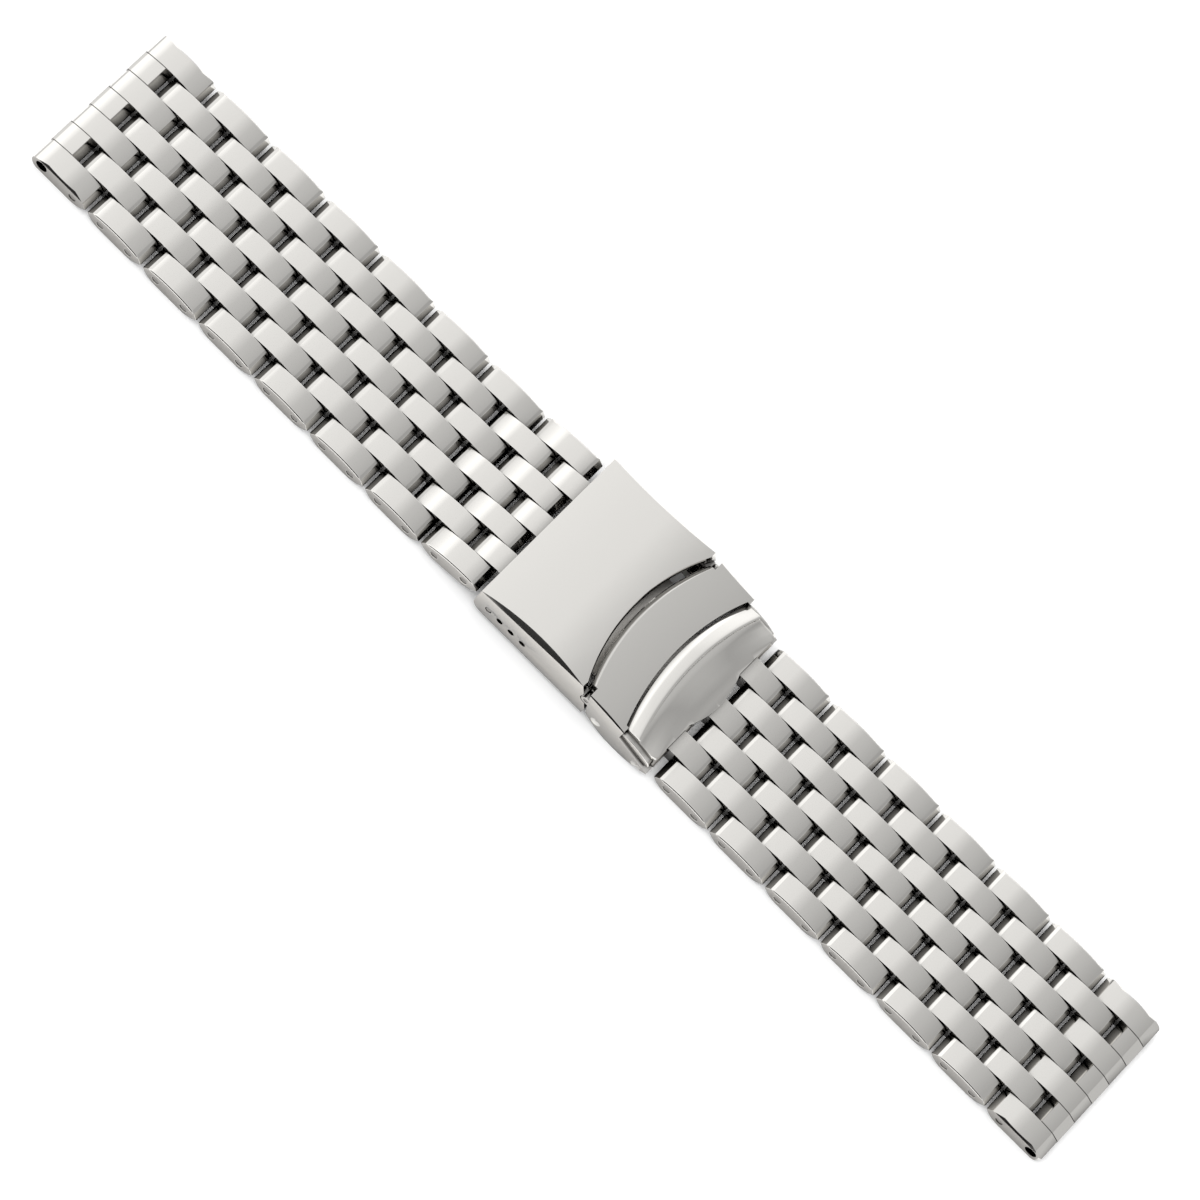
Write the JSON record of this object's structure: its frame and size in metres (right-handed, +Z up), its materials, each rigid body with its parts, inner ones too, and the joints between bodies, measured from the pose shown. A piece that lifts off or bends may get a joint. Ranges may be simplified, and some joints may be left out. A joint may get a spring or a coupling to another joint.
{
  "type": "link watch bracelet",
  "caption": "Polished steel brick-link watch bracelet lying flat, with a fold-over clasp, a curved safety latch and straight spring-bar ends.",
  "frame": {"origin": "middle of the bracelet's length and width, on the surface it lies on", "axes": "+X along the band from the clasp's adjusting end to its folding end, +Y across the band, +Z up, out of the bracelet's outer face"},
  "size_m": [0.176, 0.0252, 0.008],
  "materials": {
    "polished_steel": "mirror-polished stainless steel",
    "pin_steel": "ground and polished stainless steel pin",
    "brushed_steel": "lengthwise brushed stainless steel"
  },
  "bodies": {
    "cover": {"clasp_cover": "polished_steel", "catch_clip": "brushed_steel", "cover_hinge_pin": "pin_steel", "latch_rivets": "pin_steel", "spring_bar_tube": "pin_steel", "spring_bar_tips": "pin_steel", "spring_bar_spring": "pin_steel"},
    "latch": {"safety_latch": "polished_steel", "thumb_lip": "polished_steel"},
    "upper_blade": {"upper_blade": "brushed_steel", "blade_hinge_pin": "pin_steel"},
    "lower_blade": {"lower_blade": "brushed_steel", "catch_stud": "brushed_steel", "end_hinge_pin": "pin_steel"},
    "left_inner_row_8": {"left_inner_links_8": "polished_steel"},
    "left_outer_row_7": {"left_outer_links_7": "polished_steel", "left_pins_7": "pin_steel"},
    "left_inner_row_7": {"left_inner_links_7": "polished_steel"},
    "left_outer_row_6": {"left_outer_links_6": "polished_steel", "left_pins_6": "pin_steel"},
    "left_inner_row_6": {"left_inner_links_6": "polished_steel"},
    "left_outer_row_5": {"left_outer_links_5": "polished_steel", "left_pins_5": "pin_steel"},
    "left_inner_row_5": {"left_inner_links_5": "polished_steel"},
    "left_outer_row_4": {"left_outer_links_4": "polished_steel", "left_pins_4": "pin_steel"},
    "left_inner_row_4": {"left_inner_links_4": "polished_steel"},
    "left_outer_row_3": {"left_outer_links_3": "polished_steel", "left_pins_3": "pin_steel"},
    "left_inner_row_3": {"left_inner_links_3": "polished_steel"},
    "left_outer_row_2": {"left_outer_links_2": "polished_steel", "left_pins_2": "pin_steel"},
    "left_inner_row_2": {"left_inner_links_2": "polished_steel"},
    "left_outer_row_1": {"left_outer_links_1": "polished_steel", "left_pins_1": "pin_steel"},
    "left_inner_row_1": {"left_inner_links_1": "polished_steel"},
    "left_end": {"left_end_link": "polished_steel", "left_end_pin": "pin_steel"},
    "right_inner_row_1": {"right_inner_links_1": "polished_steel"},
    "right_outer_row_1": {"right_outer_links_1": "polished_steel", "right_pins_1": "pin_steel"},
    "right_inner_row_2": {"right_inner_links_2": "polished_steel"},
    "right_outer_row_2": {"right_outer_links_2": "polished_steel", "right_pins_2": "pin_steel"},
    "right_inner_row_3": {"right_inner_links_3": "polished_steel"},
    "right_outer_row_3": {"right_outer_links_3": "polished_steel", "right_pins_3": "pin_steel"},
    "right_inner_row_4": {"right_inner_links_4": "polished_steel"},
    "right_outer_row_4": {"right_outer_links_4": "polished_steel", "right_pins_4": "pin_steel"},
    "right_inner_row_5": {"right_inner_links_5": "polished_steel"},
    "right_outer_row_5": {"right_outer_links_5": "polished_steel", "right_pins_5": "pin_steel"},
    "right_inner_row_6": {"right_inner_links_6": "polished_steel"},
    "right_outer_row_6": {"right_outer_links_6": "polished_steel", "right_pins_6": "pin_steel"},
    "right_inner_row_7": {"right_inner_links_7": "polished_steel"},
    "right_end": {"right_end_link": "polished_steel", "right_end_pin": "pin_steel"}
  },
  "joints": [
    {"name": "latch_flip", "type": "hinge", "parent": "cover", "child": "latch", "pos_m": [0.00797, 0, 0.0049], "axis": [0, -1, 0], "range_deg": [0, 24]},
    {"name": "clasp_unfold", "type": "hinge", "parent": "cover", "child": "upper_blade", "pos_m": [0.01067, 0, 0.00215], "axis": [0, -1, 0], "range_deg": [0, 172.4]},
    {"name": "lower_blade_unfold", "type": "hinge", "parent": "upper_blade", "child": "lower_blade", "pos_m": [-0.00563, 0, 0.00105], "axis": [0, -1, 0], "range_deg": [-172.4, 0]},
    {"name": "hinge_left_inner_row_8", "type": "hinge", "parent": "cover", "child": "left_inner_row_8", "pos_m": [-0.00843, 0, 0.00336], "axis": [0, -1, 0], "range_deg": [-4, 18]},
    {"name": "hinge_left_outer_row_7", "type": "hinge", "parent": "left_inner_row_8", "child": "left_outer_row_7", "pos_m": [-0.01325, 0, 0.00285], "axis": [0, -1, 0], "range_deg": [-4, 18]},
    {"name": "hinge_left_inner_row_7", "type": "hinge", "parent": "left_outer_row_7", "child": "left_inner_row_7", "pos_m": [-0.01803, 0, 0.00201], "axis": [0, -1, 0], "range_deg": [-4, 18]},
    {"name": "hinge_left_outer_row_6", "type": "hinge", "parent": "left_inner_row_7", "child": "left_outer_row_6", "pos_m": [-0.02282, 0, 0.00125], "axis": [0, -1, 0], "range_deg": [-4, 18]},
    {"name": "hinge_left_inner_row_6", "type": "hinge", "parent": "left_outer_row_6", "child": "left_inner_row_6", "pos_m": [-0.02767, 0, 0.00125], "axis": [0, -1, 0], "range_deg": [-4, 18]},
    {"name": "hinge_left_outer_row_5", "type": "hinge", "parent": "left_inner_row_6", "child": "left_outer_row_5", "pos_m": [-0.03252, 0, 0.00125], "axis": [0, -1, 0], "range_deg": [-4, 18]},
    {"name": "hinge_left_inner_row_5", "type": "hinge", "parent": "left_outer_row_5", "child": "left_inner_row_5", "pos_m": [-0.03737, 0, 0.00125], "axis": [0, -1, 0], "range_deg": [-4, 18]},
    {"name": "hinge_left_outer_row_4", "type": "hinge", "parent": "left_inner_row_5", "child": "left_outer_row_4", "pos_m": [-0.04222, 0, 0.00125], "axis": [0, -1, 0], "range_deg": [-4, 18]},
    {"name": "hinge_left_inner_row_4", "type": "hinge", "parent": "left_outer_row_4", "child": "left_inner_row_4", "pos_m": [-0.04707, 0, 0.00125], "axis": [0, -1, 0], "range_deg": [-4, 18]},
    {"name": "hinge_left_outer_row_3", "type": "hinge", "parent": "left_inner_row_4", "child": "left_outer_row_3", "pos_m": [-0.05192, 0, 0.00125], "axis": [0, -1, 0], "range_deg": [-4, 18]},
    {"name": "hinge_left_inner_row_3", "type": "hinge", "parent": "left_outer_row_3", "child": "left_inner_row_3", "pos_m": [-0.05677, 0, 0.00125], "axis": [0, -1, 0], "range_deg": [-4, 18]},
    {"name": "hinge_left_outer_row_2", "type": "hinge", "parent": "left_inner_row_3", "child": "left_outer_row_2", "pos_m": [-0.06162, 0, 0.00125], "axis": [0, -1, 0], "range_deg": [-4, 18]},
    {"name": "hinge_left_inner_row_2", "type": "hinge", "parent": "left_outer_row_2", "child": "left_inner_row_2", "pos_m": [-0.06647, 0, 0.00125], "axis": [0, -1, 0], "range_deg": [-4, 18]},
    {"name": "hinge_left_outer_row_1", "type": "hinge", "parent": "left_inner_row_2", "child": "left_outer_row_1", "pos_m": [-0.07132, 0, 0.00125], "axis": [0, -1, 0], "range_deg": [-4, 18]},
    {"name": "hinge_left_inner_row_1", "type": "hinge", "parent": "left_outer_row_1", "child": "left_inner_row_1", "pos_m": [-0.07617, 0, 0.00125], "axis": [0, -1, 0], "range_deg": [-4, 18]},
    {"name": "hinge_left_end", "type": "hinge", "parent": "left_inner_row_1", "child": "left_end", "pos_m": [-0.08102, 0, 0.00125], "axis": [0, -1, 0], "range_deg": [-4, 18]},
    {"name": "hinge_right_inner_row_1", "type": "hinge", "parent": "lower_blade", "child": "right_inner_row_1", "pos_m": [0.01797, 0, 0.00125], "axis": [0, 1, 0], "range_deg": [-4, 18]},
    {"name": "hinge_right_outer_row_1", "type": "hinge", "parent": "right_inner_row_1", "child": "right_outer_row_1", "pos_m": [0.02282, 0, 0.00125], "axis": [0, 1, 0], "range_deg": [-4, 18]},
    {"name": "hinge_right_inner_row_2", "type": "hinge", "parent": "right_outer_row_1", "child": "right_inner_row_2", "pos_m": [0.02767, 0, 0.00125], "axis": [0, 1, 0], "range_deg": [-4, 18]},
    {"name": "hinge_right_outer_row_2", "type": "hinge", "parent": "right_inner_row_2", "child": "right_outer_row_2", "pos_m": [0.03252, 0, 0.00125], "axis": [0, 1, 0], "range_deg": [-4, 18]},
    {"name": "hinge_right_inner_row_3", "type": "hinge", "parent": "right_outer_row_2", "child": "right_inner_row_3", "pos_m": [0.03737, 0, 0.00125], "axis": [0, 1, 0], "range_deg": [-4, 18]},
    {"name": "hinge_right_outer_row_3", "type": "hinge", "parent": "right_inner_row_3", "child": "right_outer_row_3", "pos_m": [0.04222, 0, 0.00125], "axis": [0, 1, 0], "range_deg": [-4, 18]},
    {"name": "hinge_right_inner_row_4", "type": "hinge", "parent": "right_outer_row_3", "child": "right_inner_row_4", "pos_m": [0.04707, 0, 0.00125], "axis": [0, 1, 0], "range_deg": [-4, 18]},
    {"name": "hinge_right_outer_row_4", "type": "hinge", "parent": "right_inner_row_4", "child": "right_outer_row_4", "pos_m": [0.05192, 0, 0.00125], "axis": [0, 1, 0], "range_deg": [-4, 18]},
    {"name": "hinge_right_inner_row_5", "type": "hinge", "parent": "right_outer_row_4", "child": "right_inner_row_5", "pos_m": [0.05677, 0, 0.00125], "axis": [0, 1, 0], "range_deg": [-4, 18]},
    {"name": "hinge_right_outer_row_5", "type": "hinge", "parent": "right_inner_row_5", "child": "right_outer_row_5", "pos_m": [0.06162, 0, 0.00125], "axis": [0, 1, 0], "range_deg": [-4, 18]},
    {"name": "hinge_right_inner_row_6", "type": "hinge", "parent": "right_outer_row_5", "child": "right_inner_row_6", "pos_m": [0.06647, 0, 0.00125], "axis": [0, 1, 0], "range_deg": [-4, 18]},
    {"name": "hinge_right_outer_row_6", "type": "hinge", "parent": "right_inner_row_6", "child": "right_outer_row_6", "pos_m": [0.07132, 0, 0.00125], "axis": [0, 1, 0], "range_deg": [-4, 18]},
    {"name": "hinge_right_inner_row_7", "type": "hinge", "parent": "right_outer_row_6", "child": "right_inner_row_7", "pos_m": [0.07617, 0, 0.00125], "axis": [0, 1, 0], "range_deg": [-4, 18]},
    {"name": "hinge_right_end", "type": "hinge", "parent": "right_inner_row_7", "child": "right_end", "pos_m": [0.08102, 0, 0.00125], "axis": [0, 1, 0], "range_deg": [-4, 18]}
  ],
  "couplings": [
    {"joint": "lower_blade_unfold", "follows": "clasp_unfold", "ratio": -1}
  ]
}
